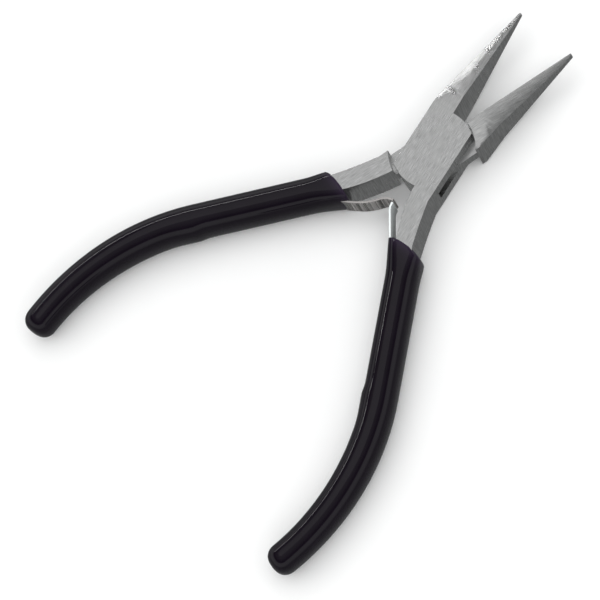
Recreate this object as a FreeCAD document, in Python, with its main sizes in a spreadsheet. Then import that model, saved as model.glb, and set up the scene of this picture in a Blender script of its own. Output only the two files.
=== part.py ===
import FreeCAD, Part
import math
import os

import Sketcher

# Box-joint pliers with chain-nose jaws, dipped grips and a pair of leaf springs.
# The origin is on the pivot axis, in the plane of the joint's back face. +Z is the way the
# front face looks, +Y is the way the jaws point, and the part is drawn open, as its springs
# hold it. The box half has the left jaw and the right handle, the lap half the others.
#
# Each half is drawn in its own closed frame, where the jaws' meeting plane is parallel to Y,
# and then turned about the pivot by half of the opening angle.

document = FreeCAD.newDocument("pliers")
sheet = document.addObject("Spreadsheet::Sheet", "Dimensions")

driving_dimensions = [
    ("opening_angle", 24.0, "angle between the jaws as the springs hold them"),
    ("joint_thickness", 10.0, "steel, from the back face to the front face"),
    ("slot_width", 3.3, "slot through the box half"),
    ("side_clearance", 0.05, "gap between the tenon and each cheek"),
    ("box_shank_side", 5.4, "from the pivot to the joint's side above each half's own shank"),
    ("box_jaw_side", 5.6, "from the pivot to the joint's side below each half's own jaw"),
    ("tenon_side", 5.05, "from the pivot to the tenon's side below the lap half's jaw"),
    ("cheek_radius", 8.8, "rounded ends of the box half's cheeks"),
    ("slot_radius", 8.9, "ends of the slot, which the tenon turns in"),
    ("tenon_radius", 8.7, "rounded ends of the tenon"),
    ("jaw_shoulder_radius", 9.1, "shoulder of the lap half above the cheeks"),
    ("shank_shoulder_radius", 9.6, "shoulder of the lap half below the cheeks"),
    ("left_face_at_pivot", 0.22, "line of the left jaw's flat face, left of the pivot"),
    ("left_face_at_tip", 1.15, "left jaw's flat face at its tip, left of the centre line"),
    ("right_face_at_pivot", -0.05, "line of the right jaw's flat face, left of the pivot"),
    ("right_face_at_tip", 1.83, "right jaw's flat face at its tip, left of the centre line"),
    ("throat_rise", 0.05, "start of the flat faces above the joint's rounding"),
    ("jaw_length", 35.6, "pivot to jaw tip"),
    ("left_tip_width", 0.45, "left jaw at its tip, across its flat face"),
    ("right_tip_width", 0.65, "right jaw at its tip, across its flat face"),
    ("jaw_bend_width", 4.4, "each jaw where its outer side bends, across its flat face"),
    ("jaw_bend_height", 14.3, "height of that bend"),
    ("jaw_tip_half", 0.65, "half thickness of a jaw at its tip"),
    ("taper_start", 12.8, "where the jaws start to get thinner, above the pivot"),
    ("jaw_crown", 3.0, "rounding radius of a jaw over its half thickness"),
    ("rounding_start", 5.5, "lowest reach of the jaws' rounding, above the pivot"),
    ("box_corner_height", 10.9, "where the box half's jaw starts to narrow"),
    ("lap_corner_height", 8.4, "where the lap half's jaw starts to narrow"),
    ("lap_step_height", 7.2, "step between the tenon's side and the lap half's jaw"),
    ("crotch_inset", 1.05, "from the centre line to the shank's inner edge"),
    ("crotch_height", 9.6, "below the pivot, where the shank starts to splay"),
    ("shank_corner_height", 10.2, "below the pivot, end of the joint's straight side"),
    ("shank_inner_radius", 48.5, "curve of the shank's inner edge"),
    ("shank_outer_radius", 110.0, "curve of the shank's outer edge"),
    ("mouth_inset", 6.07, "grip mouth's centre, out from the centre line"),
    ("mouth_drop", 20.75, "grip mouth's centre, below the pivot"),
    ("splay_angle", 22.7, "straight part of the handle, off the centre line"),
    ("tang_width", 3.8, "handle bar under the grip, in the plane of the tool"),
    ("tang_thickness", 7.0, "handle bar under the grip, front to back"),
    ("shank_overlap", 1.5, "full-thickness shank inside the grip"),
    ("straight_length", 31.6, "straight part of the grip"),
    ("bend_radius", 56.0, "curve of the grip's lower part"),
    ("grip_bend_angle", 44.5, "turn of the grip's lower part"),
    ("tang_bend_angle", 36.0, "turn of the bar inside it"),
    ("grip_width", 7.1, "grip, in the plane of the tool"),
    ("grip_thickness", 11.0, "grip, front to back"),
    ("grip_corner_radius", 3.4, "rounding along the grip"),
    ("grip_end_radius", 2.4, "rounding around the grip's closed end"),
    ("mouth_slope_rise", 2.2, "grip mouth, inner side above its centre"),
    ("mouth_slope_fall", 1.6, "grip mouth, outer side below its centre"),
    ("pivot_radius", 2.0, "pivot rivet's shank"),
    ("pivot_head_radius", 2.9, "rivet's flush countersunk heads"),
    ("pivot_head_depth", 1.1, "depth of each head"),
    ("running_clearance", 0.04, "radial gap between the tenon and the rivet"),
    ("leaf_thickness", 0.5, "leaf spring strip"),
    ("leaf_width", 6.0, "leaf spring strip, front to back"),
    ("leaf_root_depth", 13.0, "how far the strip runs down inside the grip"),
    ("spring_rivet_depth", 10.0, "spring rivet, below the grip's mouth"),
    ("spring_rivet_radius", 1.0, "spring rivet's shank"),
    ("spring_head_radius", 1.7, "spring rivet's head"),
    ("spring_head_height", 0.7, "spring rivet's head"),
    ("right_leaf_flat_end", 4.0, "right leaf leaves the tang, below the mouth"),
    ("right_leaf_lift_across", 3.55, "right leaf after its first bend, in from the handle's line"),
    ("right_leaf_lift_height", 1.2, "right leaf after its first bend, above the mouth"),
    ("right_leaf_lift_radius", 16.0, "right leaf's first bend"),
    ("right_leaf_neck_across", 4.75, "right leaf where its end bend starts"),
    ("right_leaf_neck_height", 7.4, "right leaf where its end bend starts"),
    ("right_leaf_end_across", 4.5, "right leaf's end"),
    ("right_leaf_end_height", 9.4, "right leaf's end"),
    ("right_leaf_end_radius", 3.0, "right leaf's end bend"),
    ("left_leaf_flat_end", 5.5, "left leaf leaves the tang, below the mouth"),
    ("left_leaf_lift_across", 3.3, "left leaf after its first bend, in from the handle's line"),
    ("left_leaf_lift_height", -0.6, "left leaf after its first bend, above the mouth"),
    ("left_leaf_lift_radius", 12.0, "left leaf's first bend"),
    ("left_leaf_belly_across", 5.0, "left leaf after its second bend"),
    ("left_leaf_belly_height", 4.4, "left leaf after its second bend"),
    ("left_leaf_belly_radius", 24.0, "left leaf's second bend"),
    ("left_leaf_neck_across", 5.1, "left leaf where its end bend starts"),
    ("left_leaf_neck_height", 8.4, "left leaf where its end bend starts"),
    ("left_leaf_neck_radius", 14.0, "left leaf's third bend"),
    ("left_leaf_end_across", 6.0, "left leaf's end"),
    ("left_leaf_end_height", 11.0, "left leaf's end"),
    ("left_leaf_end_radius", 4.0, "left leaf's end bend"),
    ("shoulder_meeting", 2.0, "where the cheeks' rooms change radius, from the pivot's height"),
    ("cut_margin", 1.0, "how far cutting shapes reach past the steel or the vinyl"),
]

for row, (alias, value, meaning) in enumerate(driving_dimensions, start=1):
    sheet.set("A%d" % row, meaning)
    sheet.set("B%d" % row, str(value))
    sheet.setAlias("B%d" % row, alias)
document.recompute()


class Size:
    """A number together with the sheet expression that gives it."""

    def __init__(self, value, text):
        self.value = value
        self.text = text

    def __add__(self, other):
        other = as_size(other)
        return Size(self.value + other.value, "(%s + %s)" % (self.text, other.text))

    def __sub__(self, other):
        other = as_size(other)
        return Size(self.value - other.value, "(%s - %s)" % (self.text, other.text))

    def __mul__(self, other):
        other = as_size(other)
        return Size(self.value * other.value, "(%s * %s)" % (self.text, other.text))

    def __truediv__(self, other):
        other = as_size(other)
        return Size(self.value / other.value, "(%s / %s)" % (self.text, other.text))

    def __neg__(self):
        return self * -1


def as_size(number):
    if isinstance(number, Size):
        return number
    return Size(float(number), "(%r)" % float(number))


def named(alias):
    """The sheet's value under this alias."""
    return Size(float(sheet.get(alias)), "Dimensions." + alias)


def sine(angle):
    return Size(math.sin(math.radians(angle.value)), "sin(%s * 1 deg)" % angle.text)


def cosine(angle):
    return Size(math.cos(math.radians(angle.value)), "cos(%s * 1 deg)" % angle.text)


def square_root(amount):
    return Size(math.sqrt(amount.value), "sqrt(%s)" % amount.text)


def arc_tangent(ratio):
    return Size(math.degrees(math.atan(ratio.value)), "atan(%s)" % ratio.text)


def other_leg(radius, leg):
    """Height of a circle about the pivot at a distance from the centre line."""
    height = math.sqrt(radius.value**2 - leg.value**2)
    return Size(height, "sqrt(%s ^ 2 - %s ^ 2)" % (radius.text, leg.text))


thickness = named("joint_thickness")
margin = named("cut_margin")
half_opening = named("opening_angle") / 2
splay = named("splay_angle")
mid_height = thickness / 2


# Sketches and features


def new_body(label):
    body = document.addObject("PartDesign::Body", label)
    body.Label = label
    return body


def origin_feature(body, role):
    for feature in body.Origin.OriginFeatures:
        if feature.Role == role:
            return feature
    raise ValueError(role)


def new_sketch(body, name, role="XY_Plane", offset=(0, 0, 0), turn=0):
    """A sketch on one of the body's own planes, moved and turned in that plane's frame."""
    sketch = body.newObject("Sketcher::SketchObject", name)
    sketch.AttachmentSupport = (origin_feature(body, role), [""])
    sketch.MapMode = "FlatFace"
    for letter, amount in zip("xyz", offset):
        sketch.setExpression("AttachmentOffset.Base." + letter, as_size(amount).text)
    sketch.setExpression("AttachmentOffset.Rotation.Angle", as_size(turn).text)
    return sketch


def turn_sketch(sketch, rotation):
    """Turn a sketch in its plane's frame, keeping its bound offset."""
    sketch.setExpression("AttachmentOffset.Rotation.Angle", None)
    base = sketch.AttachmentOffset.Base
    sketch.AttachmentOffset = FreeCAD.Placement(base, rotation)


def bind_point(sketch, geometry, end, x, y):
    """Hold one end of a sketch element at a distance from the sketch's origin."""
    for kind, amount in (("DistanceX", x), ("DistanceY", y)):
        index = sketch.addConstraint(Sketcher.Constraint(kind, geometry, end, amount.value))
        sketch.setExpression("Constraints[%d]" % index, amount.text)


def add_line(sketch, start, finish):
    segment = Part.LineSegment(vector(start), vector(finish))
    return sketch.addGeometry(segment, False), 1, 2


def add_arc(sketch, start, finish, radius, bulge):
    """An arc from start to finish, bulging to the left of the way if bulge is +1."""
    first, last = vector(start), vector(finish)
    chord = last - first
    left = FreeCAD.Vector(-chord.y, chord.x, 0).normalize()
    depth = math.sqrt(radius.value**2 - (chord.Length / 2) ** 2)
    centre = (first + last) * 0.5 - left * (depth * bulge)
    circle = Part.Circle(centre, FreeCAD.Vector(0, 0, 1), radius.value)
    if bulge > 0:
        first, last = last, first
    angles = [math.atan2(p.y - centre.y, p.x - centre.x) for p in (first, last)]
    index = sketch.addGeometry(Part.ArcOfCircle(circle, angles[0], angles[1]), False)
    constraint = sketch.addConstraint(Sketcher.Constraint("Radius", index, radius.value))
    sketch.setExpression("Constraints[%d]" % constraint, radius.text)
    return (index, 2, 1) if bulge > 0 else (index, 1, 2)


def vector(point):
    return FreeCAD.Vector(point[0].value, point[1].value, 0)


def draw(sketch, start, steps, side=1, closed=True):
    """Draw lines (x, y) and arcs (x, y, radius, bulge) one after another.

    side is -1 for the mirrored half, which turns the x values and the bulges round.
    """
    here = (as_size(start[0]) * side, as_size(start[1]))
    pieces = []
    first_point = here
    for step in steps:
        there = (as_size(step[0]) * side, as_size(step[1]))
        if len(step) == 2:
            piece = add_line(sketch, here, there)
        else:
            piece = add_arc(sketch, here, there, as_size(step[2]), step[3] * side)
        pieces.append((piece, here))
        here = there
    for (piece, place), (before, _) in zip(pieces, [pieces[-1]] + pieces[:-1]):
        index, begin, _ = piece
        if closed or place is not first_point:
            joint = Sketcher.Constraint("Coincident", before[0], before[2], index, begin)
            sketch.addConstraint(joint)
        bind_point(sketch, index, begin, place[0], place[1])
    if not closed:
        index, _, end = pieces[-1][0]
        bind_point(sketch, index, end, here[0], here[1])
    return sketch


def circle(sketch, radius):
    """A circle about the sketch's origin."""
    disc = Part.Circle(FreeCAD.Vector(0, 0, 0), FreeCAD.Vector(0, 0, 1), radius.value)
    index = sketch.addGeometry(disc, False)
    sketch.addConstraint(Sketcher.Constraint("Coincident", index, 3, -1, 1))
    constraint = sketch.addConstraint(Sketcher.Constraint("Radius", index, radius.value))
    sketch.setExpression("Constraints[%d]" % constraint, radius.text)
    return sketch


def pad(body, name, sketch, length):
    feature = body.newObject("PartDesign::Pad", name)
    feature.Profile = sketch
    feature.setExpression("Length", length.text)
    sketch.Visibility = False
    document.recompute()
    return feature


def cut_feature(body, kind, name, sketch, settings):
    """A pocket or groove that has to take material away."""
    before = body.Shape.Volume
    feature = body.newObject(kind, name)
    feature.Profile = sketch
    settings(feature)
    document.recompute()
    if body.Shape.Volume > before - 1e-3:
        raise RuntimeError(name + " cuts nothing")
    return feature


def pocket(body, name, sketch, depth):
    """Cut down from the sketch, against its normal."""

    def settings(feature):
        feature.setExpression("Length", depth.text)

    return cut_feature(body, "PartDesign::Pocket", name, sketch, settings)


def groove(body, name, sketch):
    """Cut a full turn about the sketch's vertical axis."""

    def settings(feature):
        feature.ReferenceAxis = (sketch, ["V_Axis"])
        feature.Angle = 360.0

    return cut_feature(body, "PartDesign::Groove", name, sketch, settings)


def cross_hole(body, name, radius, length, place):
    """A round hole across a bar; place takes +Z to the way the hole runs."""
    before = body.Shape.Volume
    hole = body.newObject("PartDesign::SubtractiveCylinder", name)
    hole.setExpression("Radius", radius.text)
    hole.setExpression("Height", length.text)
    hole.Placement = place
    document.recompute()
    if body.Shape.Volume > before - 1e-3:
        raise RuntimeError(name + " cuts nothing")
    return hole


def turn_about_pivot(feature, side):
    """Stand a half, or what is on it, in its open place."""
    feature.setExpression("Placement.Rotation.Angle", (half_opening * side).text)


# The handle's own frame: its origin is the centre of the grip's mouth, and its y axis runs
# up the handle.

mouth_x = named("mouth_inset")
mouth_y = -named("mouth_drop")
tang_half = named("tang_width") / 2


def from_handle(x, y):
    """A point of the handle's frame in the half's closed frame, right-hand side."""
    x, y = as_size(x), as_size(y)
    across = mouth_x + x * cosine(splay) - y * sine(splay)
    along = mouth_y + x * sine(splay) + y * cosine(splay)
    return across, along


def handle_placement(side):
    """The handle's frame in the finished tool."""
    turn = FreeCAD.Rotation(FreeCAD.Vector(0, 0, 1), half_opening.value * side)
    origin = FreeCAD.Vector(mouth_x.value * side, mouth_y.value, 0)
    lean = FreeCAD.Rotation(FreeCAD.Vector(0, 0, 1), splay.value * side)
    return FreeCAD.Placement(turn.multVec(origin), turn.multiply(lean))


def across_handle(side, start_x):
    """Placement that runs +Z along the handle frame's x axis, at the spring rivet."""
    start = FreeCAD.Vector(start_x.value * side, -rivet_depth.value, mid_height.value)
    return FreeCAD.Placement(start, FreeCAD.Rotation(FreeCAD.Vector(0, 1, 0), 90 * side))


rivet_depth = named("spring_rivet_depth")
leaf_thickness = named("leaf_thickness")
leaf_line = -(tang_half + leaf_thickness / 2)
head_start = leaf_line - leaf_thickness / 2 - named("spring_head_height")


# Steel halves


def flat_face(jaw, height):
    """Distance of a jaw's flat face to the left of the centre line."""
    root, tip = named(jaw + "_face_at_pivot"), named(jaw + "_face_at_tip")
    return root + (tip - root) * height / named("jaw_length")


def half_outline(body, jaw, corner_radius, foot, jaw_edge):
    """Jaw, joint and shank in one outline, drawn for a right-hand handle and left jaw.

    foot is the joint's side on the jaw's hand, and jaw_edge lists the outer edge's points
    from there to the jaw's bend.
    """
    side = 1 if jaw == "left" else -1
    width = named("box_shank_side")
    inset = named("crotch_inset")
    length = named("jaw_length")
    throat_height = corner_radius + named("throat_rise")
    throat_x = -flat_face(jaw, throat_height) * side
    tip = -flat_face(jaw, length) * side
    bend_height = named("jaw_bend_height")
    bend = -flat_face(jaw, bend_height) * side - named("jaw_bend_width")
    shank_inner = from_handle(-tang_half, 0)
    shank_outer = from_handle(tang_half, 0)
    end_inner = from_handle(-tang_half, -named("shank_overlap"))
    end_outer = from_handle(tang_half, -named("shank_overlap"))
    steps = [
        (throat_x, other_leg(corner_radius, throat_x)),
        (width, other_leg(corner_radius, width), corner_radius, 1),
        (width, -named("shank_corner_height")),
        (shank_outer[0], shank_outer[1], named("shank_outer_radius"), -1),
        end_outer,
        end_inner,
        shank_inner,
        (inset, -named("crotch_height"), named("shank_inner_radius"), 1),
        (inset, -other_leg(corner_radius, inset)),
        (-foot, -other_leg(corner_radius, foot), corner_radius, 1),
        *[(-across, height) for across, height in jaw_edge],
        (bend, bend_height),
        (tip - named(jaw + "_tip_width"), length),
        (tip, length),
        (throat_x, throat_height),
    ]
    sketch = new_sketch(body, body.Label + "_outline")
    return draw(sketch, (throat_x, throat_height), steps, side)


def tang_outline(body, side):
    """The bar inside the grip: straight, then bent with the grip, in the handle's frame."""
    lift = (thickness - named("tang_thickness")) / 2
    offset = (mouth_x * side, mouth_y, lift)
    sketch = new_sketch(body, body.Label + "_tang", offset=offset, turn=splay * side)
    bend = named("bend_radius")
    turn = named("tang_bend_angle")
    straight = -named("straight_length")
    outer, inner = bend + tang_half, bend - tang_half

    def bent(radius):
        return radius * cosine(turn) - bend, straight - radius * sine(turn)

    steps = [
        (tang_half, straight),
        (*bent(outer), outer, 1),
        bent(inner),
        (-tang_half, straight, inner, -1),
        (-tang_half, 0),
        (tang_half, 0),
    ]
    return draw(sketch, (tang_half, 0), steps, side)


def round_jaw(body, jaw):
    """Turn the jaw's outside, so that the joint's flat face ends in a petal.

    The front and the back are each a cone much flatter than the jaw is thick. Their axes lean,
    and both cones shrink to the same point beyond the tip.
    """
    start, length, crown = named("taper_start"), named("jaw_length"), named("jaw_crown")
    slope = (mid_height - named("jaw_tip_half")) / (length - start)
    lean = (crown - 1) * slope
    sink = (crown - 1) * (mid_height + slope * start)
    cosine_of_lean = Size(1.0, "1") / square_root(lean * lean + 1)
    line_start = named(jaw + "_face_at_pivot")
    axis_lean = arc_tangent((named(jaw + "_face_at_tip") - line_start) / length)

    def on_cone(height):
        rise = sink + mid_height - slope * (height - start)
        across = (rise - height * lean) * cosine_of_lean
        along = (height + rise * lean) * cosine_of_lean
        return across, along

    low_radius, low = on_cone(named("rounding_start"))
    high_radius, high = on_cone(length + margin)
    clear = low_radius + thickness
    for face, way in (("front", 1), ("back", -1)):
        offset = (-line_start, 0, mid_height - sink * way)
        sketch = new_sketch(body, "%s_%s_rounding" % (body.Label, face), offset=offset)
        tilt = FreeCAD.Rotation(FreeCAD.Vector(1, 0, 0), arc_tangent(lean).value * way)
        swing = FreeCAD.Rotation(FreeCAD.Vector(0, 0, 1), axis_lean.value)
        turn_sketch(sketch, swing.multiply(tilt))
        top = high + clear * lean  # the plate's corners at the tip lie above the leaning disc
        steps = [(high_radius, high), (clear, top), (clear, low), (low_radius, low)]
        draw(sketch, (low_radius, low), steps)
        groove(body, "%s_%s_of_jaw" % (body.Label, face), sketch)


def spring_rivet_hole(body, side):
    """Hole across the tang for the rivet that holds the leaf spring."""
    length = named("tang_width") + margin * 2
    lean = FreeCAD.Rotation(FreeCAD.Vector(0, 0, 1), splay.value * side)
    origin = FreeCAD.Vector(mouth_x.value * side, mouth_y.value, 0)
    place = FreeCAD.Placement(origin, lean).multiply(across_handle(side, -(length / 2)))
    return cross_hole(body, body.Label + "_rivet_hole", named("spring_rivet_radius"), length, place)


def steel_half(label, jaw, corner_radius, foot, jaw_edge):
    body = new_body(label)
    side = 1 if jaw == "left" else -1
    sketch = half_outline(body, jaw, corner_radius, foot, jaw_edge)
    pad(body, label + "_plate", sketch, thickness)
    pad(body, label + "_bar", tang_outline(body, side), named("tang_thickness"))
    round_jaw(body, jaw)
    spring_rivet_hole(body, side)
    return body


def rivet_profile(body, name):
    """Half section of the pivot rivet: a shank between two countersunk heads."""
    shank, head = named("pivot_radius"), named("pivot_head_radius")
    depth = named("pivot_head_depth")
    steps = [
        (head, 0),
        (shank, depth),
        (shank, thickness - depth),
        (head, thickness),
        (0, thickness),
        (0, 0),
    ]
    return draw(new_sketch(body, name, role="XZ_Plane"), (0, 0), steps)


def make_box_half():
    """Two cheeks with a slot between them, which the lap half's tenon passes through."""
    edge = named("box_jaw_side")
    jaw_edge = [(edge, named("box_corner_height"))]
    body = steel_half("box_half", "left", named("cheek_radius"), edge, jaw_edge)
    slot_top = mid_height + named("slot_width") / 2
    slot = circle(new_sketch(body, "slot_disc", offset=(0, 0, slot_top)), named("slot_radius"))
    pocket(body, "tenon_slot", slot, named("slot_width"))
    groove(body, "rivet_seat", rivet_profile(body, "rivet_seat_profile"))
    turn_about_pivot(body, 1)
    return body


def make_lap_half():
    """The half whose middle third is the tenon; both faces are cut back for the cheeks."""
    edge, step_height = named("box_jaw_side"), named("lap_step_height")
    foot = named("tenon_side")
    jaw_edge = [(foot, step_height), (edge, step_height), (edge, named("lap_corner_height"))]
    body = steel_half("lap_half", "right", named("tenon_radius"), foot, jaw_edge)
    depth = (thickness - named("slot_width")) / 2 + named("side_clearance")
    above, below = named("jaw_shoulder_radius"), named("shank_shoulder_radius")
    step = named("shoulder_meeting")
    above_x, below_x = other_leg(above, step), other_leg(below, step)
    for name, height in (("front_cheek_room", thickness), ("back_cheek_room", depth)):
        steps = [
            (-above_x, step, above, -1),
            (-below_x, -step),
            (below_x, -step, below, -1),
            (above_x, step),
        ]
        sketch = new_sketch(body, name + "_outline", offset=(0, 0, height))
        pocket(body, name, draw(sketch, (above_x, step), steps), depth)
    bore = named("pivot_radius") + named("running_clearance")
    sketch = circle(new_sketch(body, "tenon_bore_circle", offset=(0, 0, thickness)), bore)
    pocket(body, "tenon_bore", sketch, thickness)
    turn_about_pivot(body, -1)
    return body


def make_pivot_rivet():
    body = new_body("pivot_rivet")
    feature = body.newObject("PartDesign::Revolution", "rivet_turned")
    feature.Profile = rivet_profile(body, "rivet_section")
    feature.ReferenceAxis = (feature.Profile[0], ["V_Axis"])
    feature.Angle = 360.0
    document.recompute()
    turn_about_pivot(body, 1)
    return body


# Leaf springs and their rivets


def leaf_path(body, side, rise):
    """Centre line of the strip in the handle's frame: flat on the tang, then lifting off."""
    sketch = new_sketch(body, body.Label + "_path", offset=(0, 0, mid_height))
    start = (leaf_line, -named("leaf_root_depth"))
    return draw(sketch, start, rise, side, closed=False)


def make_leaf(label, side, rise):
    """A strip of spring steel bent along its path."""
    body = new_body(label)
    path = leaf_path(body, side, rise)
    offset = (leaf_line * side, mid_height, named("leaf_root_depth"))
    section = new_sketch(body, label + "_section", role="XZ_Plane", offset=offset)
    across, along = leaf_thickness / 2, named("leaf_width") / 2
    corners = [(across, along), (-across, along), (-across, -along), (across, -along)]
    draw(section, (across, -along), corners)
    document.recompute()
    pipe = body.newObject("PartDesign::AdditivePipe", label + "_strip")
    pipe.Profile = section
    pipe.Spine = (path, ["Edge%d" % (n + 1) for n in range(len(rise))])
    document.recompute()
    length = leaf_thickness * 4
    start = leaf_line - length / 2
    hole = across_handle(side, start)
    cross_hole(body, label + "_hole", named("spring_rivet_radius"), length, hole)
    body.Placement = handle_placement(side)
    return body


def make_spring_rivet(label, side):
    body = new_body(label)
    shank = body.newObject("PartDesign::AdditiveCylinder", label + "_shank")
    shank.setExpression("Radius", named("spring_rivet_radius").text)
    shank.setExpression("Height", (tang_half - head_start).text)
    shank.Placement = across_handle(side, head_start)
    head = body.newObject("PartDesign::AdditiveCylinder", label + "_head")
    head.setExpression("Radius", named("spring_head_radius").text)
    head.setExpression("Height", named("spring_head_height").text)
    head.Placement = across_handle(side, head_start)
    document.recompute()
    body.Placement = handle_placement(side)
    return body


# Grips


def grip_section(body):
    """Rounded rectangle across the handle."""
    across, along = named("grip_width") / 2, named("grip_thickness") / 2
    corner = named("grip_corner_radius")
    top = named("mouth_slope_rise")
    # The XZ plane's own normal looks along -Y, so the section is lifted by minus its height.
    sketch = new_sketch(body, body.Label + "_section", role="XZ_Plane", offset=(0, mid_height, -top))
    steps = [
        (across, along - corner),
        (across - corner, along, corner, -1),
        (corner - across, along),
        (-across, along - corner, corner, -1),
        (-across, corner - along),
        (corner - across, -along, corner, -1),
        (across - corner, -along),
        (across, corner - along, corner, -1),
    ]
    return draw(sketch, (across, corner - along), steps)


def closed_end(sleeve):
    """Name of the face that closes the sleeve's lower end."""
    faces = enumerate(sleeve.Faces, start=1)
    lowest = min((face.CenterOfMass.y, "Face%d" % number) for number, face in faces)
    return [lowest[1]]


def make_grip(label, side, inside):
    """A dipped sleeve: the outer form, sloped at its mouth, less the pieces inside it."""
    body = new_body(label + "_form")
    top, fall = named("mouth_slope_rise"), named("mouth_slope_fall")
    bend, turn = named("bend_radius"), named("grip_bend_angle")
    straight = -named("straight_length")
    path = new_sketch(body, label + "_path", offset=(0, 0, mid_height))
    bend_end = (bend * cosine(turn) - bend, straight - bend * sine(turn), bend, 1)
    draw(path, (0, top), [(0, straight), bend_end], side, closed=False)
    section = grip_section(body)
    document.recompute()
    pipe = body.newObject("PartDesign::AdditivePipe", label + "_sleeve")
    pipe.Profile = section
    pipe.Spine = (path, ["Edge1", "Edge2"])
    document.recompute()
    end = closed_end(pipe.Shape)
    rounding = body.newObject("PartDesign::Fillet", label + "_end_rounding")
    rounding.Base = (pipe, end)
    rounding.setExpression("Radius", named("grip_end_radius").text)
    document.recompute()

    # twice as wide as the grip, so the mouth's slope goes on past both sides
    reach, drop, middle = named("grip_width"), top + fall, (top - fall) / 2
    steps = [
        (reach, middle - drop),
        (reach, top + margin),
        (-reach, top + margin),
        (-reach, middle + drop),
    ]
    wedge = new_sketch(body, label + "_mouth", offset=(0, 0, thickness + margin * 2))
    draw(wedge, (-reach, middle + drop), steps, side)
    pocket(body, label + "_mouth_slope", wedge, thickness + margin * 4)
    body.Placement = handle_placement(side)

    core = document.addObject("Part::MultiFuse", label + "_core")
    core.Shapes = inside
    grip = document.addObject("Part::Cut", label)
    grip.Base = body
    grip.Tool = core
    grip.Label = label
    document.recompute()
    return grip


def leaf_point(side, place):
    return -named("%s_leaf_%s_across" % (side, place)), named("%s_leaf_%s_height" % (side, place))


def leaf_bend(side, place, bulge):
    return (*leaf_point(side, place), named("%s_leaf_%s_radius" % (side, place)), bulge)


box_half = make_box_half()
lap_half = make_lap_half()
pivot_rivet = make_pivot_rivet()

right_leaf_rise = [
    (leaf_line, -named("right_leaf_flat_end")),
    leaf_bend("right", "lift", -1),
    leaf_point("right", "neck"),
    leaf_bend("right", "end", 1),
]
left_leaf_rise = [
    (leaf_line, -named("left_leaf_flat_end")),
    leaf_bend("left", "lift", -1),
    leaf_bend("left", "belly", 1),
    leaf_bend("left", "neck", 1),
    leaf_bend("left", "end", -1),
]

right_leaf_spring = make_leaf("right_leaf_spring", 1, right_leaf_rise)
left_leaf_spring = make_leaf("left_leaf_spring", -1, left_leaf_rise)
right_spring_rivet = make_spring_rivet("right_spring_rivet", 1)
left_spring_rivet = make_spring_rivet("left_spring_rivet", -1)
right_grip = make_grip("right_grip", 1, [box_half, right_leaf_spring, right_spring_rivet])
left_grip = make_grip("left_grip", -1, [lap_half, left_leaf_spring, left_spring_rivet])

document.recompute()

pieces = [
    box_half,
    lap_half,
    pivot_rivet,
    right_grip,
    left_grip,
    right_leaf_spring,
    left_leaf_spring,
    right_spring_rivet,
    left_spring_rivet,
]

for item in document.Objects:
    if "Invalid" in item.State or "Error" in item.State:
        raise RuntimeError("%s did not compute" % item.Label)

for piece in pieces:
    if piece.Shape.isNull() or not piece.Shape.isValid():
        raise RuntimeError("%s has no valid shape" % piece.Label)

os.makedirs("parts", exist_ok=True)
for piece in pieces:
    piece.Shape.exportStep("parts/%s.step" % piece.Label)
    box = piece.Shape.BoundBox
    print(
        "%-20s %8.1f mm3  x %.2f..%.2f  y %.2f..%.2f  z %.2f..%.2f"
        % (piece.Label, piece.Shape.Volume, box.XMin, box.XMax, box.YMin, box.YMax, box.ZMin, box.ZMax)
    )
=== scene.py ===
import math

import bmesh
import bpy
from mathutils import Matrix, Vector


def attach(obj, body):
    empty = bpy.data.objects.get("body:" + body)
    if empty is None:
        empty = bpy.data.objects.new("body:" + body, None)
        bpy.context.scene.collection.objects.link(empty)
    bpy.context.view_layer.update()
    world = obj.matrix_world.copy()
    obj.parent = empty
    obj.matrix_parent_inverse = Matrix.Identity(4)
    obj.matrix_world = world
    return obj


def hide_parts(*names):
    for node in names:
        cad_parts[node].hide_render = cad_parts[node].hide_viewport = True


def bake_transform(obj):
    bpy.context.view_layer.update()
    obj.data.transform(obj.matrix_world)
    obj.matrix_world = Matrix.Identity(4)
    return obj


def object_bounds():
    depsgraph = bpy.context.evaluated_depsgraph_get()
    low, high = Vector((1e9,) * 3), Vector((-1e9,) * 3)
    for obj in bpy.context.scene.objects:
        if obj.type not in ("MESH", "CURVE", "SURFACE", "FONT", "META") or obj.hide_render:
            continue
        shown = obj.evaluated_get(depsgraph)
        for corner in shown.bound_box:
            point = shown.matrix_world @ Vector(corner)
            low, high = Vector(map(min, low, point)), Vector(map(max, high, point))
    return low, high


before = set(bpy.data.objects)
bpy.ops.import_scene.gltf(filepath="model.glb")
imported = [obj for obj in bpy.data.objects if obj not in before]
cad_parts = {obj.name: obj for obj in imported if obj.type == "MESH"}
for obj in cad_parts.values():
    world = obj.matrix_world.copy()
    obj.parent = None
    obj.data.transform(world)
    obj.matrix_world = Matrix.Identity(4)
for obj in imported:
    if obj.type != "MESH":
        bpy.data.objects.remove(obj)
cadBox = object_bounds()
scene = bpy.context.scene
mm = 0.001

# Camera, floor and light

cameraSetup = {
    "place": (0.26527, -0.08227, 0.75890),
    "target": (0.00066, -0.04212, 0.005),
    "up": (-0.6475, 0.7143, 0.2653),
    "lens": 227.39,
    "sensor": 36.0,
    "near": 0.01,
    "far": 20,
}

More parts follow.
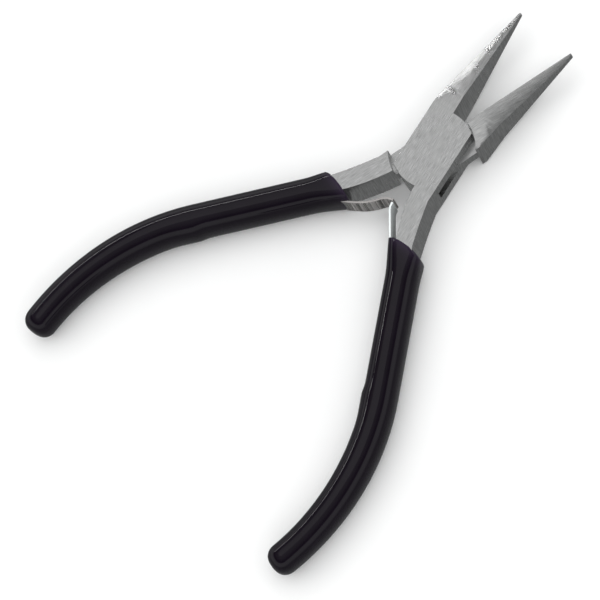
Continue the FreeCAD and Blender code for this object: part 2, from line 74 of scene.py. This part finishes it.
studio = {
    "floorSize": 6.0,
    "floorGap": 0.00005,  # below the lowest point of the tool
    "floorColour": (0.93, 0.93, 0.93),
    "roomTint": (0.98, 1.0, 0.995),
    "room": [
        # height of the direction from -1 straight down to 1 straight up, brightness
        (-1.0, 0.21),
        (-0.30, 0.24),
        (-0.10, 0.75),
        (0.06, 0.90),
        (0.36, 0.90),
        (0.46, 0.05),
        (0.62, 0.04),
        (0.85, 0.26),
        (1.0, 0.45),
    ],
    "lightTarget": (0, -0.04, 0.005),
    "lights": [
        # name, place, width, height, watts, seen in polished surfaces only
        ("overheadSoftbox", (-0.28, 0.22, 1.05), 0.80, 1.05, 1.35, True),
        ("sideStrip", (-0.76, 0.03, 0.59), 0.72, 0.03, 1.6, True),
        ("tableWash", (0.0, 0.0, 2.2), 5.0, 5.0, 112.0, False),
    ],
}


def placeCamera(setup):
    data = bpy.data.cameras.new("productCamera")
    camera = bpy.data.objects.new("productCamera", data)
    scene.collection.objects.link(camera)
    data.lens = setup["lens"]
    data.sensor_width = setup["sensor"]
    data.clip_start = setup["near"]
    data.clip_end = setup["far"]
    back = (Vector(setup["place"]) - Vector(setup["target"])).normalized()
    right = Vector(setup["up"]).cross(back).normalized()
    up = back.cross(right)
    turn = Matrix((right, up, back)).transposed().to_4x4()
    camera.matrix_world = Matrix.Translation(setup["place"]) @ turn
    scene.camera = camera


def hangLights(setup):
    for name, place, width, height, watts, glossOnly in setup["lights"]:
        data = bpy.data.lights.new(name, "AREA")
        data.shape = "RECTANGLE"
        data.size = width
        data.size_y = height
        data.energy = watts
        lamp = bpy.data.objects.new(name, data)
        scene.collection.objects.link(lamp)
        lamp.location = place
        aim = Vector(setup["lightTarget"]) - Vector(place)
        lamp.rotation_euler = aim.to_track_quat("-Z", "Y").to_euler()
        lamp.visible_glossy = glossOnly
        lamp.visible_diffuse = not glossOnly


# A dim room with a pale band at the horizon, which draws the bright lines along edges.
def paintRoom(setup):
    world = bpy.data.worlds.new("room")
    world.use_nodes = True
    tree = world.node_tree
    way = addNode(tree, "ShaderNodeTexCoord").outputs["Generated"]
    height = addNode(tree, "ShaderNodeSeparateXYZ", {0: way}).outputs["Z"]
    share = addNode(
        tree, "ShaderNodeMapRange", {"Value": height, "From Min": -1.0, "From Max": 1.0}
    )
    tint = setup["roomTint"]
    stops = [((z + 1) / 2, tuple(part * light for part in tint)) for z, light in setup["room"]]
    colour = ramp(tree, share.outputs[0], stops)
    tree.links.new(colour, tree.nodes["Background"].inputs["Color"])
    scene.world = world


def layFloor(setup, material):
    mesh = bpy.data.meshes.new("floor")
    bm = bmesh.new()
    bmesh.ops.create_grid(bm, x_segments=1, y_segments=1, size=setup["floorSize"] / 2)
    level = cadBox[0].z - setup["floorGap"]
    bmesh.ops.translate(bm, verts=bm.verts, vec=(0, 0, level))
    bm.to_mesh(mesh)
    bm.free()
    floor = bpy.data.objects.new("floor", mesh)
    scene.collection.objects.link(floor)
    mesh.materials.append(material)
    floor.visible_glossy = False  # polished steel sees the room below it, not the table


placeCamera(cameraSetup)
scene.view_settings.view_transform = "Standard"
print("camera in place")

# Shader helpers

def addNode(tree, kind, inputs=None, **settings):
    node = tree.nodes.new(kind)
    for key, value in settings.items():
        setattr(node, key, value)
    for key, value in (inputs or {}).items():
        if isinstance(value, bpy.types.NodeSocket):
            tree.links.new(value, node.inputs[key])
        else:
            node.inputs[key].default_value = value
    return node


def newGroup(name, inputs, outputs):
    tree = bpy.data.node_groups.new(name, "ShaderNodeTree")
    for socket, kind, value in inputs:
        made = tree.interface.new_socket(socket, in_out="INPUT", socket_type=kind)
        if value is not None:
            made.default_value = value
    for socket, kind in outputs:
        tree.interface.new_socket(socket, in_out="OUTPUT", socket_type=kind)
    return tree, tree.nodes.new("NodeGroupInput"), tree.nodes.new("NodeGroupOutput")


def vectorOut(node):
    return node.outputs["Vector"]


def scaled(tree, vector, factors):
    return vectorOut(
        addNode(tree, "ShaderNodeVectorMath", {0: vector, 1: factors}, operation="MULTIPLY")
    )


def blendValues(tree, share, first, second):
    node = addNode(tree, "ShaderNodeMix", {"Factor": share, "A": first, "B": second})
    return node.outputs["Result"]


def ramp(tree, value, stops):
    # stops are (position, grey or colour), in rising order
    node = addNode(tree, "ShaderNodeValToRGB", {"Fac": value})
    points = node.color_ramp.elements
    points[0].position = stops[0][0]
    points[-1].position = stops[-1][0]
    for place, colour in stops[1:-1]:
        points.new(place)
    for point, (place, colour) in zip(points, stops):
        if not isinstance(colour, tuple):
            colour = (colour, colour, colour)
        point.color = (*colour, 1)
    return node.outputs["Color"]


grindPattern = {
    "faceStretch": (9000, 450, 300),
    "sideStretch": (4600, 4600, 200),
    "lineDetail": 3.0,
    "sideBelow": 0.35,  # how far a surface faces up: below this it is a side
    "faceAbove": 0.75,
    "cloudScale": 900.0,
    "cloudDetail": 5.0,
    "cloudShare": 0.15,
}


# Fine lines from the grinding belt, along the half on its faces and upright on its sides.
def makeGrindMarks(pattern):
    tree, entry, leave = newGroup(
        "grindMarks",
        [("Vector", "NodeSocketVector", None), ("Fineness", "NodeSocketFloat", 1.0)],
        [("Height", "NodeSocketFloat"), ("Tone", "NodeSocketFloat")],
    )
    place = entry.outputs["Vector"]
    fine = entry.outputs["Fineness"]
    faceLines, sideLines = [
        addNode(
            tree,
            "ShaderNodeTexNoise",
            {
                "Vector": scaled(tree, place, pattern[stretch]),
                "Scale": fine,
                "Detail": pattern["lineDetail"],
            },
        ).outputs["Fac"]
        for stretch in ("faceStretch", "sideStretch")
    ]
    facing = addNode(
        tree,
        "ShaderNodeSeparateXYZ",
        {0: addNode(tree, "ShaderNodeNewGeometry").outputs["Normal"]},
    )
    upward = addNode(tree, "ShaderNodeMath", {0: facing.outputs["Z"]}, operation="ABSOLUTE")
    share = addNode(
        tree,
        "ShaderNodeMapRange",
        {
            "Value": upward.outputs[0],
            "From Min": pattern["sideBelow"],
            "From Max": pattern["faceAbove"],
        },
    )
    lines = blendValues(tree, share.outputs[0], sideLines, faceLines)
    cloud = addNode(
        tree,
        "ShaderNodeTexNoise",
        {"Vector": place, "Scale": pattern["cloudScale"], "Detail": pattern["cloudDetail"]},
    )
    tree.links.new(lines, leave.inputs["Height"])
    tone = blendValues(tree, pattern["cloudShare"], lines, cloud.outputs["Fac"])
    tree.links.new(tone, leave.inputs["Tone"])
    return tree


smearPattern = {"detail": 5.0, "distortion": 0.8}


# Smears and fingerprints, as soft blotches.
def makeHandling(pattern):
    tree, entry, leave = newGroup(
        "handling",
        [("Vector", "NodeSocketVector", None), ("Size", "NodeSocketFloat", 0.01)],
        [("Smear", "NodeSocketFloat")],
    )
    place = entry.outputs["Vector"]
    rate = addNode(
        tree, "ShaderNodeMath", {0: 1.0, 1: entry.outputs["Size"]}, operation="DIVIDE"
    )
    smear = addNode(
        tree,
        "ShaderNodeTexNoise",
        {
            "Vector": place,
            "Scale": rate.outputs[0],
            "Detail": pattern["detail"],
            "Distortion": pattern["distortion"],
        },
    )
    tree.links.new(smear.outputs["Fac"], leave.inputs["Smear"])
    return tree


grindMarks = makeGrindMarks(grindPattern)
handling = makeHandling(smearPattern)


def newMaterial(name):
    material = bpy.data.materials.new(name)
    material.use_nodes = True
    tree = material.node_tree
    return material, tree, tree.nodes["Principled BSDF"]


# Object coordinates, turned about Z so that a pattern runs along the piece.
def objectPlace(tree, turn=0.0):
    coordinates = addNode(tree, "ShaderNodeTexCoord")
    mapping = addNode(tree, "ShaderNodeMapping", {"Vector": coordinates.outputs["Object"]})
    mapping.inputs["Rotation"].default_value = (0, 0, math.radians(turn))
    return vectorOut(mapping)


# A colour between dark and light, over the middle part of a noise's range.
def mottle(tree, value, dark, light):
    return ramp(tree, value, [(0.3, dark), (0.7, light)])


def useGroup(tree, group, inputs):
    return addNode(tree, "ShaderNodeGroup", inputs, node_tree=group)


def bumpNormal(tree, height, strength, distance):
    node = addNode(
        tree, "ShaderNodeBump", {"Height": height, "Strength": strength, "Distance": distance}
    )
    return node.outputs["Normal"]


steelFinish = {
    "dark": (0.34, 0.34, 0.34),
    "light": (0.62, 0.62, 0.62),
    "roughLow": 0.24,
    "roughHigh": 0.31,
    "smearSize": 0.009,
    "lineDepth": 0.000003,
    "lineStrength": 0.15,
    "rivetFineness": 1.5,
}


def groundSteel(name, turn, fineness=1.0):
    finish = steelFinish
    material, tree, shader = newMaterial(name)
    place = objectPlace(tree, turn)
    marks = useGroup(tree, grindMarks, {"Vector": place, "Fineness": fineness})
    touch = useGroup(tree, handling, {"Vector": place, "Size": finish["smearSize"]})
    colour = mottle(tree, marks.outputs["Tone"], finish["dark"], finish["light"])
    rough = blendValues(tree, touch.outputs["Smear"], finish["roughLow"], finish["roughHigh"])
    tree.links.new(colour, shader.inputs["Base Color"])
    tree.links.new(rough, shader.inputs["Roughness"])
    normal = bumpNormal(
        tree, marks.outputs["Height"], finish["lineStrength"], finish["lineDepth"]
    )
    tree.links.new(normal, shader.inputs["Normal"])
    shader.inputs["Metallic"].default_value = 1.0
    return material


# The two leaves are one spring steel, given as a lit and a shaded copy: the right leaf's much
# paler colour is painted reflection.
leafFinishWithPaintedLight = {
    "left": {
        "dark": (0.30, 0.285, 0.28),
        "light": (0.38, 0.365, 0.355),
        "roughLow": 0.5,
        "roughHigh": 0.6,
        "metallic": 0.1,
        "smearSize": 0.004,
        "grainScale": 5000.0,
        "grainStrength": 0.1,
        "grainDepth": 0.000002,
    },
    "right": {
        "dark": (0.80, 0.85, 0.85),
        "light": (0.88, 0.92, 0.92),
        "roughLow": 0.3,
        "roughHigh": 0.4,
        "metallic": 0.1,
        "smearSize": 0.004,
        "grainScale": 5000.0,
        "grainStrength": 0.1,
        "grainDepth": 0.000001,
    },
}


def paintedLightSpringSteel(name, finish):
    material, tree, shader = newMaterial(name)
    place = objectPlace(tree)
    touch = useGroup(tree, handling, {"Vector": place, "Size": finish["smearSize"]})
    colour = mottle(tree, touch.outputs["Smear"], finish["dark"], finish["light"])
    rough = blendValues(tree, touch.outputs["Smear"], finish["roughLow"], finish["roughHigh"])
    tree.links.new(colour, shader.inputs["Base Color"])
    tree.links.new(rough, shader.inputs["Roughness"])
    grain = addNode(
        tree, "ShaderNodeTexNoise", {"Vector": place, "Scale": finish["grainScale"]}
    )
    normal = bumpNormal(
        tree, grain.outputs["Fac"], finish["grainStrength"], finish["grainDepth"]
    )
    tree.links.new(normal, shader.inputs["Normal"])
    shader.inputs["Metallic"].default_value = finish["metallic"]
    return material


vinylFinish = {
    "body": (0.0045, 0.0030, 0.0055),
    # The lip colour is painted sheen: a paler purple standing for the reflection along the
    # mouth's rim; the smears carry some of it too.
    "lip": (0.030, 0.020, 0.040),
    "roughLow": 0.04,
    "roughHigh": 0.07,
    "shine": 0.22,
    "smearSize": 0.007,
    "smearTint": 0.12,  # how much of the lip's colour the smears carry
    "dimpleScale": 420.0,
    "dimpleDetail": 2.0,
    "dimpleStrength": 0.12,
    "dimpleDepth": 0.00006,
}


def dippedVinyl(name):
    finish = vinylFinish
    material, tree, shader = newMaterial(name)
    place = objectPlace(tree)
    touch = useGroup(tree, handling, {"Vector": place, "Size": finish["smearSize"]})
    lip = addNode(tree, "ShaderNodeAttribute", attribute_name="lipPaintedSheen")
    smeared = addNode(
        tree,
        "ShaderNodeMath",
        {0: touch.outputs["Smear"], 1: finish["smearTint"], 2: lip.outputs["Fac"]},
        operation="MULTIPLY_ADD",
    )
    colour = ramp(tree, smeared.outputs[0], [(0.0, finish["body"]), (1.0, finish["lip"])])
    rough = blendValues(tree, touch.outputs["Smear"], finish["roughLow"], finish["roughHigh"])
    dimples = addNode(
        tree,
        "ShaderNodeTexNoise",
        {"Vector": place, "Scale": finish["dimpleScale"], "Detail": finish["dimpleDetail"]},
    )
    normal = bumpNormal(
        tree, dimples.outputs["Fac"], finish["dimpleStrength"], finish["dimpleDepth"]
    )
    tree.links.new(colour, shader.inputs["Base Color"])
    tree.links.new(rough, shader.inputs["Roughness"])
    tree.links.new(normal, shader.inputs["Normal"])
    shader.inputs["Specular IOR Level"].default_value = finish["shine"]
    return material


paperFinish = {"grainScale": 60.0, "grainDetail": 4.0, "darker": 0.985, "rough": 0.9}


def tablePaper(name, colour):
    finish = paperFinish
    material, tree, shader = newMaterial(name)
    place = objectPlace(tree)
    grain = addNode(
        tree,
        "ShaderNodeTexNoise",
        {"Vector": place, "Scale": finish["grainScale"], "Detail": finish["grainDetail"]},
    )
    slightlyDarker = tuple(finish["darker"] * part for part in colour)
    tone = mottle(tree, grain.outputs["Fac"], slightlyDarker, colour)
    tree.links.new(tone, shader.inputs["Base Color"])
    shader.inputs["Roughness"].default_value = finish["rough"]
    shader.inputs["Specular IOR Level"].default_value = 0.0
    return material


opening = 12.0  # each half stands turned by this many degrees
boxSteel = groundSteel("groundSteelBox", -opening)
lapSteel = groundSteel("groundSteelLap", opening)
rivetSteel = groundSteel("rivetSteel", 0.0, steelFinish["rivetFineness"])
leafSteelWithPaintedLight = {
    side: paintedLightSpringSteel("paintedLightSpringSteel" + side.capitalize(), finish)
    for side, finish in leafFinishWithPaintedLight.items()
}
gripVinyl = dippedVinyl("dippedVinyl")
layFloor(studio, tablePaper("tablePaper", studio["floorColour"]))
hangLights(studio)
paintRoom(studio)
print("materials, floor and lights ready")

# The two steel halves

steelShape = {
    "mergeGap": 0.000002,
    "flatAngle": 0.2,  # degrees: flatter joins become one face
    "sharpAngle": 24.0,  # degrees: sharper edges get a small round
    "edgeRound": 0.00010,
    "roundSteps": 2,
    "seatRadius": 0.00292,
}


# A merged bmesh of a CAD node's mesh.
def nodeCopy(node):
    bm = bmesh.new()
    bm.from_mesh(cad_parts[node].data)
    bmesh.ops.remove_doubles(bm, verts=bm.verts, dist=steelShape["mergeGap"])
    return bm


def makeObject(name, bm, material, body, replaced, smoothAngle=30.0):
    mesh = bpy.data.meshes.new(name)
    bm.to_mesh(mesh)
    bm.free()
    piece = bpy.data.objects.new(name, mesh)
    scene.collection.objects.link(piece)
    mesh.materials.append(material)
    mesh.shade_smooth()
    mesh.set_sharp_from_angle(angle=math.radians(smoothAngle))
    weigh = piece.modifiers.new("flatFaces", "WEIGHTED_NORMAL")
    weigh.mode = "FACE_AREA"
    weigh.keep_sharp = True
    if body:
        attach(piece, body)
    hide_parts(*replaced)
    return piece


def flatten(bm):
    limit = math.radians(steelShape["flatAngle"])
    bmesh.ops.dissolve_limit(
        bm, angle_limit=limit, verts=bm.verts, edges=bm.edges, use_dissolve_boundaries=False
    )


def roundEdges(bm):
    limit = math.radians(steelShape["sharpAngle"])
    sharp = [e for e in bm.edges if e.is_manifold and e.calc_face_angle(0) > limit]
    bmesh.ops.bevel(
        bm,
        geom=sharp,
        offset=steelShape["edgeRound"],
        offset_type="OFFSET",
        affect="EDGES",
        segments=steelShape["roundSteps"],
        profile=0.5,
        material=-1,
        clamp_overlap=True,
    )


# The rivet is ground flush and can't be seen, so the faces run over it.
def closeRivetSeat(bm):
    reach = steelShape["seatRadius"]
    inside = [f for f in bm.faces if all(v.co.xy.length < reach for v in f.verts)]
    bmesh.ops.delete(bm, geom=inside, context="FACES")
    rims = [e for e in bm.edges if e.is_boundary]
    bmesh.ops.holes_fill(bm, edges=rims, sides=0)
    bmesh.ops.recalc_face_normals(bm, faces=bm.faces)


def makeSteelHalf(name, node, material, body):
    bm = nodeCopy(node)
    if node == "box_half":
        closeRivetSeat(bm)
    flatten(bm)
    roundEdges(bm)
    bmesh.ops.triangulate(bm, faces=[f for f in bm.faces if len(f.verts) > 4])
    makeObject(name, bm, material, body, [node])


makeSteelHalf("boxHalf", "box_half", boxSteel, "box_side")
makeSteelHalf("lapHalf", "lap_half", lapSteel, "lap_side")
print("steel halves made")

pivotPin = {"radius": 2.0 * mm, "length": 3.3 * mm, "height": 5.0 * mm, "sides": 48}


# The rivet's shank where it crosses the slot, inside the tenon's bore.
def makePivotPin(shape):
    bm = bmesh.new()
    bmesh.ops.create_cone(
        bm,
        cap_ends=True,
        segments=shape["sides"],
        radius1=shape["radius"],
        radius2=shape["radius"],
        depth=shape["length"],
    )
    bmesh.ops.translate(bm, verts=bm.verts, vec=(0, 0, shape["height"]))
    makeObject("pivotPin", bm, rivetSteel, "box_side", ["pivot_rivet"])


makePivotPin(pivotPin)
print("pivot pin made")

# The handle's frame has its origin at the middle of the grip's mouth and +Y up the handle.

handle = {
    "mouthInset": 6.07 * mm,
    "mouthDrop": 20.75 * mm,
    "splay": 22.7,
    "midHeight": 5.0 * mm,
    "straight": 31.6 * mm,
    "bendRadius": 56.0 * mm,
    "bendAngle": 44.5,
}


# The handle's frame in the finished tool; side is 1 on the right and -1 on the left.
def handlePlace(side):
    turn = Matrix.Rotation(math.radians(opening) * side, 4, "Z")
    mouth = Matrix.Translation((handle["mouthInset"] * side, -handle["mouthDrop"], 0))
    lean = Matrix.Rotation(math.radians(handle["splay"]) * side, 4, "Z")
    return turn @ mouth @ lean @ Matrix.Translation((0, 0, handle["midHeight"]))


# Both handles are drawn as the right one; the left one is mirrored.
def mirrorLeft(bm, side):
    if side < 0:
        bmesh.ops.scale(bm, verts=bm.verts, vec=(-1, 1, 1))
        bmesh.ops.recalc_face_normals(bm, faces=bm.faces)


# Dipped grips

gripShape = {
    "sides": 48,
    "squareness": 0.86,  # 1 is an ellipse, less is fuller at the corners
    "mouthSquareness": 0.6,
    "mouthShift": -0.25 * mm,
    "mouthFade": 7.0 * mm,  # how soon the mouth's fuller form is gone
    "mouthHalfWidth": 3.85 * mm,
    "middleHalfWidth": 3.55 * mm,
    "endHalfWidth": 3.25 * mm,
    "mouthHalfThickness": 5.42 * mm,
    "middleHalfThickness": 5.35 * mm,
    "endHalfThickness": 4.7 * mm,
    "stationGap": 1.0 * mm,
    "endRound": 3.0 * mm,
    "endSteps": 10,
    "endFullness": 0.75,  # 1 rounds the closed end as a half ellipse, less is blunter
    "innerRise": 2.2 * mm,
    "outerFall": 1.6 * mm,
    "slopeFade": 9.0 * mm,
    "openingHalfWidth": 1.95 * mm,
    "openingHalfThickness": 5.08 * mm,
    "openingShift": -0.05 * mm,
    "openingDepth": 1.2 * mm,
    "lipSteps": 5,
    "lipRound": 0.9 * mm,
    "lipSheenReach": 1.1 * mm,
    "knuckleAt": 32.3 * mm,  # below the mouth, where the bar's bend shows through the vinyl
    "knuckleHeight": 0.35 * mm,
    "knuckleAbove": 2.5 * mm,
    "knuckleBelow": 7.0 * mm,
    "smoothAngle": 60.0,
}


def smoothStep(value):
    value = min(max(value, 0.0), 1.0)
    return value * value * (3 - 2 * value)


# Where the grip's middle line is, this far below the mouth, as a matrix.
def pathPlace(distance):
    straight, radius = handle["straight"], handle["bendRadius"]
    if distance <= straight:
        return Matrix.Translation((0, -distance, 0))
    angle = (distance - straight) / radius
    centre = Matrix.Translation((-radius, -straight, 0))
    return centre @ Matrix.Rotation(-angle, 4, "Z") @ Matrix.Translation((radius, 0, 0))


# Half width and half thickness of the grip this far below the mouth.
def gripHalves(distance, length):
    shape = gripShape
    share = distance / length
    if distance < shape["mouthFade"]:
        mix = smoothStep(distance / shape["mouthFade"])
        pairs = ("mouth", "middle")
    else:
        mix = smoothStep(share * 2 - 1)
        pairs = ("middle", "end")
    return tuple(
        shape[pairs[0] + part] * (1 - mix) + shape[pairs[1] + part] * mix
        for part in ("HalfWidth", "HalfThickness")
    )


# Stand a ring of points round the grip's middle line; circle holds their unit directions.
def ringTo(verts, circle, power, place, width, thickness, shift, slope):
    for vert, (across, front) in zip(verts, circle):
        x = math.copysign(abs(across) ** power, across) * width + shift
        z = math.copysign(abs(front) ** power, front) * thickness
        vert.co = place @ Vector((x, -slope * x, z))


def ringEdges(bm, ring):
    return [e for e in bm.edges if e.verts[0] in ring and e.verts[1] in ring]


# For each old vert, the new one that an extrusion has joined to it.
def extruded(made, old):
    fresh = {v for v in made if isinstance(v, bmesh.types.BMVert)}
    return [
        next(e.other_vert(v) for e in v.link_edges if e.other_vert(v) in fresh) for v in old
    ]


def nextRing(bm, ring):
    made = bmesh.ops.extrude_edge_only(bm, edges=ringEdges(bm, ring))["geom"]
    return extruded(made, ring)


# (distance, width share) from the lip down to the closed end.
def gripStations(length):
    shape = gripShape
    last = length - shape["endRound"]
    count = int(last / shape["stationGap"])
    stations = [(last * n / count, 1.0) for n in range(1, count + 1)]
    for n in range(1, shape["endSteps"]):
        angle = math.pi / 2 * n / shape["endSteps"]
        share = math.cos(angle) ** shape["endFullness"]
        stations.append((last + shape["endRound"] * math.sin(angle), share))
    return stations


# A low swelling on the inner side where the bar under the vinyl starts to bend.
def raiseKnuckle(bm):
    shape = gripShape
    for vert in bm.verts:
        along = -vert.co.y - shape["knuckleAt"]
        reach = shape["knuckleBelow"] if along > 0 else shape["knuckleAbove"]
        inward = smoothStep(-vert.co.x / shape["middleHalfWidth"])
        push = shape["knuckleHeight"] * (1 - smoothStep(abs(along) / reach)) * inward
        vert.co.x -= push


def makeGrip(name, side, material, body, replaced):
    shape = gripShape
    length = handle["straight"] + handle["bendRadius"] * math.radians(handle["bendAngle"])
    fullSlope = (shape["innerRise"] + shape["outerFall"]) / (2 * shape["mouthHalfWidth"])
    lift = (shape["innerRise"] - shape["outerFall"]) / 2
    bm = bmesh.new()
    ring = bmesh.ops.create_circle(bm, segments=shape["sides"], radius=1.0)["verts"]
    circle = [(v.co.x, v.co.y) for v in ring]
    square = shape["mouthSquareness"]
    opened = (shape["openingHalfWidth"], shape["openingHalfThickness"])
    outer = gripHalves(0, length)

    def setRing(verts, distance, halves, shift, slope):
        ringTo(verts, circle, square, pathPlace(distance - lift), *halves, shift, slope)

    # inside the mouth, over the round lip, then down the outside
    setRing(ring, shape["openingDepth"], opened, shape["openingShift"], fullSlope)
    ring = nextRing(bm, ring)
    wall = [(o - i) for o, i in zip(outer, opened)]
    for n in range(shape["lipSteps"] + 1):
        angle = math.pi / 2 * n / shape["lipSteps"]
        halves = [i + w * math.sin(angle) for i, w in zip(opened, wall)]
        mix = math.sin(angle)
        shift = shape["openingShift"] * (1 - mix) + shape["mouthShift"] * mix
        setRing(ring, shape["lipRound"] * (1 - math.cos(angle)), halves, shift, fullSlope)
        ring = nextRing(bm, ring)
    stations = gripStations(length)
    for number, (distance, share) in enumerate(stations):
        fade = 1 - smoothStep(distance / shape["slopeFade"])
        halves = [half * share for half in gripHalves(distance, length)]
        place = pathPlace(distance - lift * fade)
        full = 1 - smoothStep(distance / shape["mouthFade"])
        power = shape["squareness"] + (square - shape["squareness"]) * full
        shift = shape["mouthShift"] * full
        ringTo(ring, circle, power, place, *halves, shift, fullSlope * fade)
        if number < len(stations) - 1:
            ring = nextRing(bm, ring)
    bmesh.ops.edgeloop_fill(bm, edges=ringEdges(bm, ring))
    raiseKnuckle(bm)
    # Painted sheen: a paler purple that fades out below the mouth, standing for the reflection
    # on the grip's lip.
    tint = bm.verts.layers.float.new("lipPaintedSheen")
    for vert in bm.verts:
        mouthLine = lift - fullSlope * vert.co.x
        below = max(mouthLine - vert.co.y, 0.0)
        vert[tint] = math.exp(-below / shape["lipSheenReach"])
    bmesh.ops.recalc_face_normals(bm, faces=bm.faces)
    mirrorLeft(bm, side)
    bmesh.ops.transform(bm, matrix=handlePlace(side), verts=bm.verts)
    makeObject(name, bm, material, body, [replaced], shape["smoothAngle"])


makeGrip("rightGrip", 1, gripVinyl, "box_side", "right_grip")
makeGrip("leftGrip", -1, gripVinyl, "lap_side", "left_grip")
print("grips made")

# Leaf springs

leafShape = {
    "thickness": 0.5 * mm,
    "width": 6.0 * mm,
    "edgeRound": 0.08 * mm,
    "roundSteps": 2,
    "sharpAngle": 50.0,
    "step": 0.12 * mm,
    # lines (x, y) and arcs (x, y, radius, bulge) in the handle's frame, in millimetres
    "start": (-2.15, -13.0),
    "rightRise": [
        (-2.15, -4.0),
        (-3.55, 1.2, 16.0, -1),
        (-4.75, 7.4),
        (-4.5, 9.4, 3.0, 1),
    ],
    "leftRise": [
        (-2.15, -5.5),
        (-3.3, -0.6, 12.0, -1),
        (-5.0, 4.4, 24.0, 1),
        (-5.1, 8.4, 14.0, 1),
        (-6.0, 11.0, 4.0, -1),
    ],
}


# Points and directions along the strip's middle line.
def leafLine(start, rise, step):
    here = Vector(start) * mm
    line = []
    for run in rise:
        there = Vector(run[:2]) * mm
        chord = there - here
        if len(run) == 2:
            count = max(1, round(chord.length / step))
            line += [(here + chord * n / count, chord.normalized()) for n in range(count)]
        else:
            radius, bulge = run[2] * mm, run[3]
            left = Vector((-chord.y, chord.x)).normalized()
            centre = (here + there) / 2 - left * bulge * math.sqrt(
                radius**2 - (chord.length / 2) ** 2
            )
            angle = 2 * math.asin(chord.length / 2 / radius)
            count = max(2, round(radius * angle / step))
            for n in range(count):
                turn = Matrix.Rotation(-bulge * angle * n / count, 2)
                spoke = turn @ (here - centre)
                way = Vector((spoke.y, -spoke.x)).normalized() * bulge
                line.append((centre + spoke, way))
        here = there
    line.append((here, line[-1][1]))
    return line


def makeLeaf(name, side, rise, replaced):
    shape = leafShape
    line = leafLine(shape["start"], rise, shape["step"])
    bm = bmesh.new()
    grid = bmesh.ops.create_grid(bm, x_segments=1, y_segments=1, size=0.5)
    face = grid["verts"][0].link_faces[0]
    across, front = shape["thickness"] / 2, shape["width"] / 2
    corners = [
        (math.copysign(across, v.co.x), math.copysign(front, v.co.y)) for v in face.verts
    ]

    def standAt(verts, point, way):
        for vert, (x, z) in zip(verts, corners):
            vert.co = (point.x + way.y * x, point.y - way.x * x, z)

    standAt(face.verts[:], *line[0])
    for point, way in line[1:]:
        old = face.verts[:]
        # the first face stays, as the strip's lower end
        first = point == line[1][0]
        made = bmesh.ops.extrude_face_region(bm, geom=[face], use_keep_orig=first)["geom"]
        tops = extruded(made, old)
        face = next(f for f in made if isinstance(f, bmesh.types.BMFace))
        standAt(tops, point, way)
        corners = [corners[tops.index(v)] for v in face.verts]
    bmesh.ops.recalc_face_normals(bm, faces=bm.faces)
    limit = math.radians(shape["sharpAngle"])
    bmesh.ops.bevel(
        bm,
        geom=[e for e in bm.edges if e.calc_face_angle(0) > limit],
        offset=shape["edgeRound"],
        affect="EDGES",
        segments=shape["roundSteps"],
        profile=0.5,
        material=-1,
        clamp_overlap=True,
    )
    mirrorLeft(bm, side)
    place = handlePlace(side)
    bmesh.ops.transform(bm, matrix=place, verts=bm.verts)
    # The right leaf takes the pale copy, whose colour is painted reflection.
    material = leafSteelWithPaintedLight["right" if side > 0 else "left"]
    leaf = makeObject(name, bm, material, None, [replaced])
    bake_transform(leaf)


makeLeaf("rightLeaf", 1, leafShape["rightRise"], "right_leaf_spring")
makeLeaf("leftLeaf", -1, leafShape["leftRise"], "left_leaf_spring")
print("leaf springs made")

for node in ("right_spring_rivet", "left_spring_rivet"):
    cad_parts[node].data.materials.clear()
    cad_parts[node].data.materials.append(rivetSteel)
